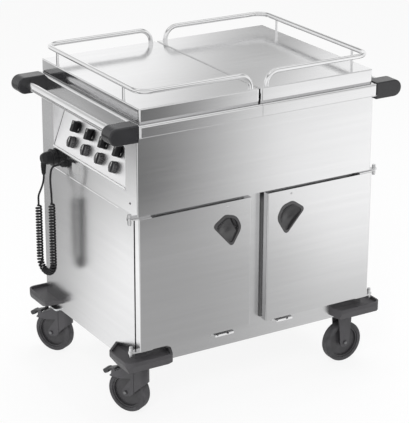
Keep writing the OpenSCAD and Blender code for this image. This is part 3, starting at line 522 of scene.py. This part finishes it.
glide_finish = new_finish("glide_strip", (0.30, 0.30, 0.305), 0.5)
plug_in(glide_finish, "Roughness", spread(glide_finish, cloud(glide_finish, 50), 0.42, 0.6))
roughen(glide_finish, cloud(glide_finish, 700), 0.00006, 0.4)
for side, x in (("left", -glide_x), ("right", glide_x)):
    strip = slab(np.array([x, lid_middle, glide_z]), glide_half_long, glide_half_thick, -glide_half_thick,
                 glide_half_thick, y_way, x_way, square_end)
    surface(f"glide_strip_{side}", strip, glide_finish, f"lid_{side}")

# ---- Doors ----
# Foam-filled doors with brushed skins, hung outboard on pins, with a dark grey rubber gasket behind, its
# top run painted near-black as shade, and a glossy moulded grip let into each. The grips are one shape and
# its mirror image.

door_front = -315
door_screw_x = 106.5
door_screw_z = 604

door_finish = brushed_steel("door_steel", (0.69, 0.69, 0.695), 0.18)
dress(door_finish, "door_left", "door_right")

# Above about 600 mm the gasket is painted near-black. This is painted shade for its top run, which lies
# deep in the gap over the doors. The panel seam, which sits higher, takes the same near-black.
gasket_finish = new_finish("gasket", (0.12, 0.12, 0.122), 0.7, sheen=0.3)
painted_top_shade = spread(gasket_finish, split(gasket_finish, place_on(gasket_finish))["Z"], 0, 1, 0.585, 0.612)
plug_in(gasket_finish, "Base Color", between(gasket_finish, painted_top_shade, (0.125, 0.125, 0.127), (0.012, 0.012, 0.013)))
plug_in(gasket_finish, "Roughness", spread(gasket_finish, cloud(gasket_finish, 40), 0.6, 0.8))
roughen(gasket_finish, cloud(gasket_finish, 900), 0.0001, 0.4)
dress(gasket_finish, "door_seal_left", "door_seal_right")


def moulded(name, colour, roughness, grain, depth=0.00012, sheen=0.5):
    """Moulded plastic with a fine spark-eroded grain, a slight mottle and dull rubbed patches."""
    finish = new_finish(name, colour, roughness, sheen=sheen)
    skin = cloud(finish, grain, 3)
    mottle = cloud(finish, 14, 4)
    plug_in(finish, "Base Color", between(finish, spread(finish, mottle, 0, 1), [c * 0.86 for c in colour],
                                          [c * 1.16 for c in colour]))
    plug_in(finish, "Roughness", spread(finish, mottle, roughness - 0.06, roughness + 0.07))
    roughen(finish, skin, depth, 0.5)
    return finish


grip_finish = moulded("grip_black", (0.040, 0.039, 0.041), 0.24, 600, 0.00005, sheen=0.8)
dress(grip_finish, "door_grip_left", "door_grip_right")


def turned(profile, at, out):
    """A profile of (radius, height) in millimetres, turned round the line through at along out:
    point = at + height * out + radius * (cos a * u + sin a * v), with u and v square to out."""
    profile = np.array(profile, float) / 1000
    out = np.array(out, float) / np.linalg.norm(out)
    u = np.cross(out, [0.3, 0.5, 0.81])
    u /= np.linalg.norm(u)
    v = np.cross(out, u)
    a = np.linspace(0, 2 * np.pi, 32, endpoint=False)
    ring = np.cos(a)[:, None] * u + np.sin(a)[:, None] * v
    return np.array(at) / 1000 + profile[:, 1, None, None] * out + profile[:, 0, None, None] * ring


screw_head = [(0, -0.6), (3.4, -0.6), (3.4, 0.2), (3.1, 0.9), (2.3, 1.5), (1.3, 1.8), (1.3, 0.9), (0, 0.9)]
screw_finish = polished_steel("screw_steel", (0.74, 0.74, 0.745), 0.22)
for side, x in (("left", -door_screw_x), ("right", door_screw_x)):
    surface(f"door_screw_{side}", turned(screw_head, (x, door_front, door_screw_z), -y_way), screw_finish,
            f"door_{side}")

# ---- Hinges and catches ----
# Pressed brackets with steel pins carry the doors. Two bent steel plates under the doors hold them shut,
# each with a bright rolled edge and two dark rubber stops let into it.

# Each catch plate's two ends and the places of its two stops along the front.
catch_plates = {"left": (-141, -79, (-132.5, -99)), "right": (66, 122, (69.5, 103.5))}
catch_y = -311
catch_edge_z = 215.4
catch_stop_z = 216.2
# Half length, half width and lift of a plate's two stops: a small pin and a wider pad.
stop_sizes = ((1.6, 1.2, 0.0), (3.0, 1.8, 0.4))
catch_lean = np.radians(16)

hinge_finish = brushed_steel("hinge_steel", (0.66, 0.66, 0.665), 0.26)
catch_finish = brushed_steel("catch_steel", (0.78, 0.78, 0.785), 0.30)
dress(hinge_finish, "hinge_brackets")
dress(catch_finish, "door_catches")

edge_finish = polished_steel("catch_trim", (0.86, 0.86, 0.865), 0.24)
stop_finish = new_finish("catch_stop", (0.012, 0.012, 0.013), 0.5, sheen=0.3)
plug_in(stop_finish, "Roughness", spread(stop_finish, cloud(stop_finish, 60), 0.42, 0.6))
catch_out = np.array([0, -np.cos(catch_lean), np.sin(catch_lean)])
for side, (x0, x1, stops) in catch_plates.items():
    edge_middle = np.array([(x0 + x1) / 2, catch_y, catch_edge_z])
    edge = slab(edge_middle, (x1 - x0) / 2, 3.0, -0.6, 0.6, x_way, catch_out, 0.15)
    surface(f"catch_edge_{side}", edge, edge_finish, "trolley")
    for k, (x, (half_long, half_wide, lift)) in enumerate(zip(stops, stop_sizes)):
        stop_middle = np.array([x, catch_y, catch_stop_z + lift])
        stop = slab(stop_middle, half_long, half_wide, 0.3, 1.2, x_way, catch_out, 0.3)
        surface(f"catch_stop_{side}_{k}", stop, stop_finish, "trolley")

# ---- Push handles ----
# A bright 25 mm tube at each end of the trolley. Its ends sit in two moulded black blocks, which are
# screwed to the worktop's edge.

tube_finish = polished_steel("push_steel", (0.82, 0.82, 0.825), 0.12)
block_finish = moulded("block_black", (0.017, 0.017, 0.019), 0.26, 600, 0.00006)
dress(tube_finish, "push_tube_left", "push_tube_right")
dress(block_finish, "grip_front_left", "grip_rear_left", "grip_front_right", "grip_rear_right")

# ---- Corner bumpers ----
# One moulding of dark grey plastic wraps each lower corner. It has a sunken top inside a lip, and its
# under-edge is chamfered.

bumper_finish = moulded("bumper_grey", (0.056, 0.054, 0.058), 0.5, 520)
dress(bumper_finish, "bumper_front_left", "bumper_rear_left", "bumper_front_right", "bumper_rear_right")

# ---- Castors ----
# The left pair swivels and has a brake pedal, the right pair is fixed. Forks are grey plastic over
# steel, and the wheels have a grey tyre on a darker hub, held by a dark axle bolt.

swivel_axle = (-0.88458, -0.46639, 0.0)
fixed_axle = (0, -1, 0)
tyre_from = 0.0505
# Each wheel's centre, its axle's direction, how far out the axle's caps sit, and what carries them.
wheels = {
    "front_left": ((-365.72, -211.89, 62.5), swivel_axle, 23, "castor_fork_front_left"),
    "rear_left": ((-365.72, 262.11, 62.5), swivel_axle, 23, "castor_fork_rear_left"),
    "front_right": ((348, -245.5, 62.5), fixed_axle, 22, "trolley"),
    "rear_right": ((348, 228.5, 62.5), fixed_axle, 22, "trolley"),
}

fork_finish = moulded("castor_grey", (0.060, 0.058, 0.063), 0.44, 480)
zinc_finish = polished_steel("zinc", (0.62, 0.63, 0.64), 0.3)
pedal_finish = moulded("pedal_black", (0.03, 0.03, 0.032), 0.42, 500)
dress(fork_finish, "fork_front_left", "fork_rear_left", "fixed_forks")
dress(zinc_finish, "castor_heads")
dress(pedal_finish, "brake_pedal_front_left", "brake_pedal_rear_left")


def wheel_finish(name, centre):
    """Grey tyre and darker hub, told apart by the distance from the wheel's centre, both scuffed."""
    finish = new_finish(name, (0.09, 0.088, 0.094), 0.6)
    from_centre = add_node(finish, "ShaderNodeVectorMath", "SUBTRACT", i0=place_on(finish),
                           i1=[c / 1000 for c in centre]).outputs[0]
    distance = add_node(finish, "ShaderNodeVectorMath", "LENGTH", i0=from_centre).outputs["Value"]
    tyre = spread(finish, distance, 0, 1, tyre_from, tyre_from + 0.001)
    scuff = spread(finish, cloud(finish, 55, 5), 0, 1)
    hub_colour = between(finish, scuff, (0.034, 0.033, 0.036), (0.052, 0.050, 0.054))
    tyre_colour = between(finish, scuff, (0.040, 0.039, 0.042), (0.072, 0.070, 0.075))
    plug_in(finish, "Base Color", between(finish, tyre, hub_colour, tyre_colour))
    plug_in(finish, "Roughness", spread(finish, tyre, 0.42, 0.68, 0, 1))
    roughen(finish, cloud(finish, 420, 4), 0.0002, 0.4)
    return finish


bolt_finish = polished_steel("axle_bolt", (0.20, 0.20, 0.205), 0.34)
axle_cap = [(0, -0.5), (5.2, -0.5), (5.2, 1.0), (4.6, 2.2), (3.0, 2.9), (0, 3.1)]
for name, (centre, axle, cap_out, body) in wheels.items():
    dress(wheel_finish(f"wheel_{name}", centre), f"wheel_{name}")
    for k, sign in enumerate((1, -1)):
        spot = np.array(centre) + sign * cap_out * np.array(axle)
        surface(f"axle_cap_{name}_{k}", turned(axle_cap, spot, sign * np.array(axle)), bolt_finish, body)

# ---- Knobs ----
# Four black rotary switches over four ribbed thermostat knobs, pushed on spindles that come through
# the leaning panel. White pointer lines and plain figures are printed on them.

panel_lean = np.arctan(42 / 114)
panel_foot = (-386, 686)
panel_out = np.array([-np.cos(panel_lean), 0, np.sin(panel_lean)])
panel_up = np.array([np.sin(panel_lean), 0, np.cos(panel_lean)])
panel_right = -y_way
knob_middle = -37.5
knob_pitch = 84
switch_z = 763
stat_z = 720
skirt_top = 4.3
switch_top = 21
stat_top = 18
figure_size = 8.6
figure_ring = 12.6
figure_angles = {"0": 90, "1": -28, "2": -62}

knob_black = moulded("knob_black", (0.008, 0.008, 0.009), 0.30, 700, 0.00005, sheen=0.2)
knob_grey = moulded("knob_grey", (0.034, 0.033, 0.036), 0.22, 600, 0.00004, sheen=0.7)
print_finish = new_finish("printed_white", (0.82, 0.82, 0.82), 0.5)
print_wear = spread(print_finish, cloud(print_finish, 900), 0, 1)
plug_in(print_finish, "Base Color", between(print_finish, print_wear, (0.70, 0.70, 0.69), (0.86, 0.86, 0.85)))


def on_panel(y, z):
    """The point on the leaning panel's face at this y and height, in millimetres."""
    return np.array([panel_foot[0] + (z - panel_foot[1]) * np.tan(panel_lean), y, z])


def pointer(name, knob, half_long, half_wide, top, body):
    """A printed line up a knob's face, from just under its top to just above it."""
    line = slab(knob, half_long, half_wide, top - 0.2, top + 0.15, panel_up, panel_out, 0.5)
    surface(name, line, print_finish, body)


def figure(name, text, centre, body):
    """A plain numeral as a thin flat mesh, turned to stand on the panel's slope."""
    curve = bpy.data.curves.new(name, "FONT")
    curve.body = text
    curve.size = figure_size / 1000
    curve.offset = 0.0003
    curve.align_x = "CENTER"
    curve.align_y = "CENTER"
    curve.extrude = 0.00004
    holder = bpy.data.objects.new(name, curve)
    bpy.context.scene.collection.objects.link(holder)
    bpy.context.view_layer.update()
    mesh = bpy.data.meshes.new_from_object(holder)
    bpy.data.objects.remove(holder)
    turn = np.column_stack([panel_right, panel_up, panel_out, centre / 1000])
    mesh.transform(Matrix(np.vstack([turn, [0, 0, 0, 1]]).tolist()))
    mesh.materials.clear()
    mesh.materials.append(print_finish)
    piece = bpy.data.objects.new(name, mesh)
    bpy.context.scene.collection.objects.link(piece)
    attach(piece, body)


for k, letter in enumerate("abcd"):
    y = knob_middle + (1.5 - k) * knob_pitch
    dress(knob_black, f"switch_knob_{letter}")
    dress(knob_grey, f"stat_knob_{letter}")
    switch = on_panel(y, switch_z)
    pointer(f"switch_mark_{letter}", switch + 10 * panel_up, 5.0, 0.8, switch_top, f"switch_{letter}")
    for text, angle in figure_angles.items():
        way = np.cos(np.radians(angle)) * panel_right + np.sin(np.radians(angle)) * panel_up
        figure(f"switch_figure_{letter}_{text}", text, switch + figure_ring * way + (skirt_top + 0.06) * panel_out,
               f"switch_{letter}")
    stat = on_panel(y, stat_z)
    pointer(f"stat_mark_{letter}", stat + 6.5 * panel_up, 7.2, 0.9, stat_top, f"thermostat_{letter}")

# ---- Socket, plug and gland ----
# The parked plug sits in a round moulded socket on the left wall, and the cord's other end goes
# through a hexagonal gland beside it.

socket_finish = moulded("socket_black", (0.010, 0.010, 0.011), 0.34, 600, 0.00008, sheen=0.3)
dress(socket_finish, "parking_socket", "cord_gland", "plug")

# ---- Wall fittings ----
# A bare plate under the control opening, a screw near the wall's front corner, and the edges of the
# folded sheets that catch the light: the lip under the opening, the wall's seam, the rim over the
# doors and the dark joint at the panel's rear end.

wall_x = -386.0
lip_z = 684.8
seam_z = 616.0
rim_x = 194.4
rim_y = -324.0
rim_z = 850.6
edge_lean = np.radians(20)
wall_edge = np.array([-np.cos(edge_lean), 0, np.sin(edge_lean)])
front_edge = np.array([0, -np.cos(edge_lean), np.sin(edge_lean)])

plate_finish = moulded("plate_pale", (0.52, 0.52, 0.52), 0.5, 300, 0.00002, sheen=0.3)
trim_finish = polished_steel("trim_steel", (0.90, 0.90, 0.905), 0.16)
rim_finish = polished_steel("rim_steel", (0.62, 0.62, 0.625), 0.2)
plate = slab(np.array([wall_x, 53, 652.5]), 24, 13.5, -0.2, 0.7, y_way, -x_way, 0.22)
surface("rating_plate", plate, plate_finish, "trolley")
lip = slab(np.array([wall_x - 2, -25, lip_z]), 216, 1.7, -0.6, 0.7, y_way, wall_edge, square_end)
surface("opening_lip", lip, trim_finish, "trolley")
seam = slab(np.array([wall_x, -5, seam_z]), 196, 0.8, -0.5, 0.5, y_way, wall_edge, square_end)
surface("wall_seam", seam, trim_finish, "trolley")
for side, x in (("left", -rim_x), ("right", rim_x)):
    rim = slab(np.array([x, rim_y, rim_z]), 192.4, 0.6, -0.5, 0.5, x_way, front_edge, square_end)
    surface(f"rim_edge_{side}", rim, rim_finish, "trolley")
joint = slab(on_panel(190.6, 742), 59, 1.2, -0.3, 0.4, panel_up, panel_out, square_end)
surface("panel_seam", joint, gasket_finish, "trolley")
surface("side_screw", turned(screw_head, (wall_x, -266, 650), -x_way), bolt_finish, "trolley")
